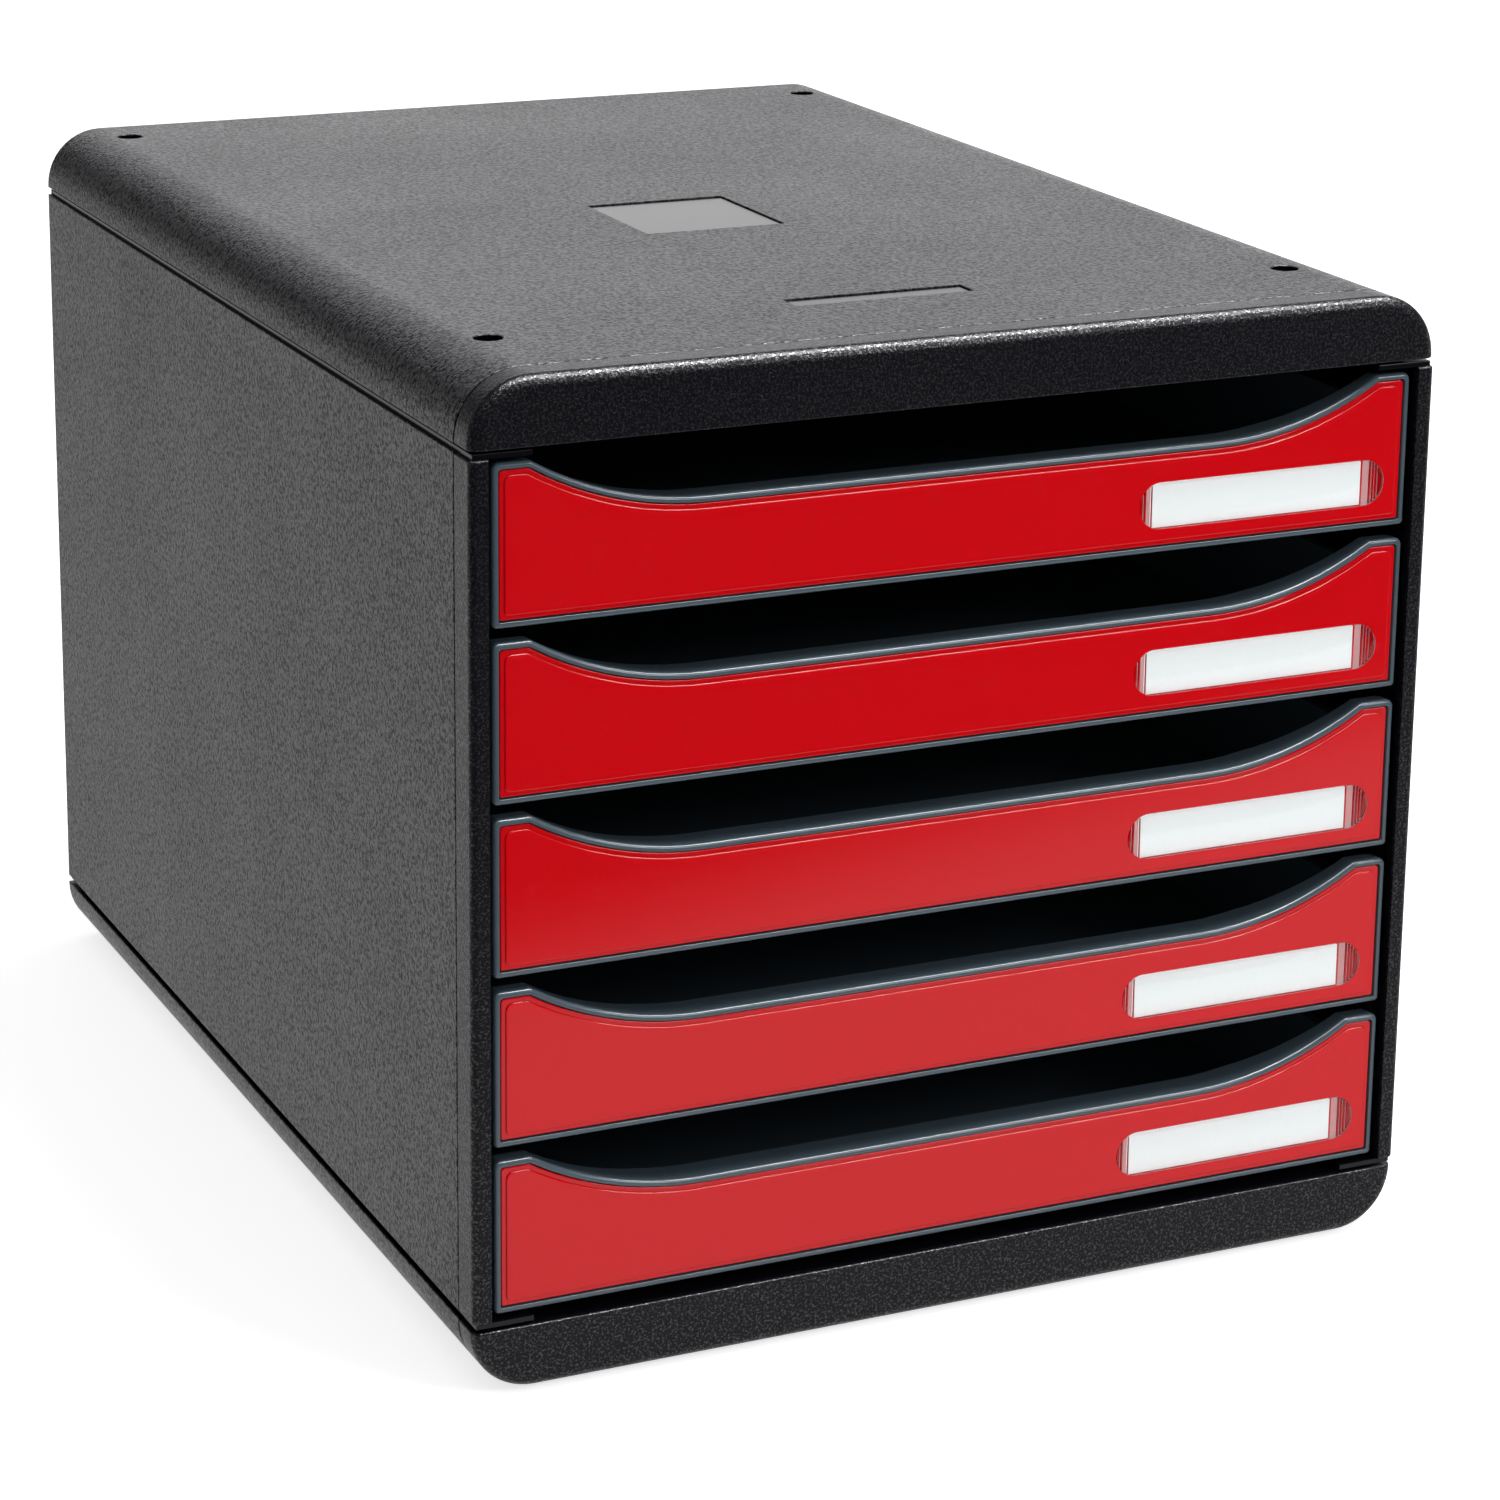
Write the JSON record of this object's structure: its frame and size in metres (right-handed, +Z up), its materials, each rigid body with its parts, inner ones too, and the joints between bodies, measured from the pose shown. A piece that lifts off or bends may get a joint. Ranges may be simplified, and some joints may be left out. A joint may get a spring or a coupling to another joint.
{
  "type": "desktop drawer unit",
  "caption": "Desktop drawer unit with full-width sliding paper drawers, dipped finger lips and label windows in a rounded plastic casing",
  "frame": {"origin": "centre of the footprint on the surface that the unit stands on", "axes": "+X to the right seen from the front, +Y from the drawer fronts to the back, +Z up"},
  "size_m": [0.278, 0.372, 0.271],
  "materials": {
    "casing_black": "fine moulded grain",
    "bezel_black": "coarse moulded grain",
    "drawer_slate": "satin",
    "front_red": "high gloss",
    "window_clear": "clear",
    "label_paper": "matt",
    "foot_rubber": "matt"
  },
  "bodies": {
    "casing": {"top_cover": "casing_black", "base": "casing_black", "left_side_panel": "casing_black", "right_side_panel": "casing_black", "back_panel": "casing_black", "front_visor": "bezel_black", "front_sill": "bezel_black", "left_front_strip": "bezel_black", "right_front_strip": "bezel_black", "foot_front_left": "foot_rubber", "foot_front_right": "foot_rubber", "foot_rear_left": "foot_rubber", "foot_rear_right": "foot_rubber"},
    "drawer_1": {"drawer_1_tray": "drawer_slate", "drawer_1_front_panel": "front_red", "drawer_1_label_window": "window_clear", "drawer_1_label_card": "label_paper"},
    "drawer_2": {"drawer_2_tray": "drawer_slate", "drawer_2_front_panel": "front_red", "drawer_2_label_window": "window_clear", "drawer_2_label_card": "label_paper"},
    "drawer_3": {"drawer_3_tray": "drawer_slate", "drawer_3_front_panel": "front_red", "drawer_3_label_window": "window_clear", "drawer_3_label_card": "label_paper"},
    "drawer_4": {"drawer_4_tray": "drawer_slate", "drawer_4_front_panel": "front_red", "drawer_4_label_window": "window_clear", "drawer_4_label_card": "label_paper"},
    "drawer_5": {"drawer_5_tray": "drawer_slate", "drawer_5_front_panel": "front_red", "drawer_5_label_window": "window_clear", "drawer_5_label_card": "label_paper"}
  },
  "joints": [
    {"name": "drawer_1_slide", "type": "slide", "parent": "casing", "child": "drawer_1", "axis": [0, -1, 0], "range_m": [0, 0.25]},
    {"name": "drawer_2_slide", "type": "slide", "parent": "casing", "child": "drawer_2", "axis": [0, -1, 0], "range_m": [0, 0.25]},
    {"name": "drawer_3_slide", "type": "slide", "parent": "casing", "child": "drawer_3", "axis": [0, -1, 0], "range_m": [0, 0.25]},
    {"name": "drawer_4_slide", "type": "slide", "parent": "casing", "child": "drawer_4", "axis": [0, -1, 0], "range_m": [0, 0.25]},
    {"name": "drawer_5_slide", "type": "slide", "parent": "casing", "child": "drawer_5", "axis": [0, -1, 0], "range_m": [0, 0.25]}
  ]
}
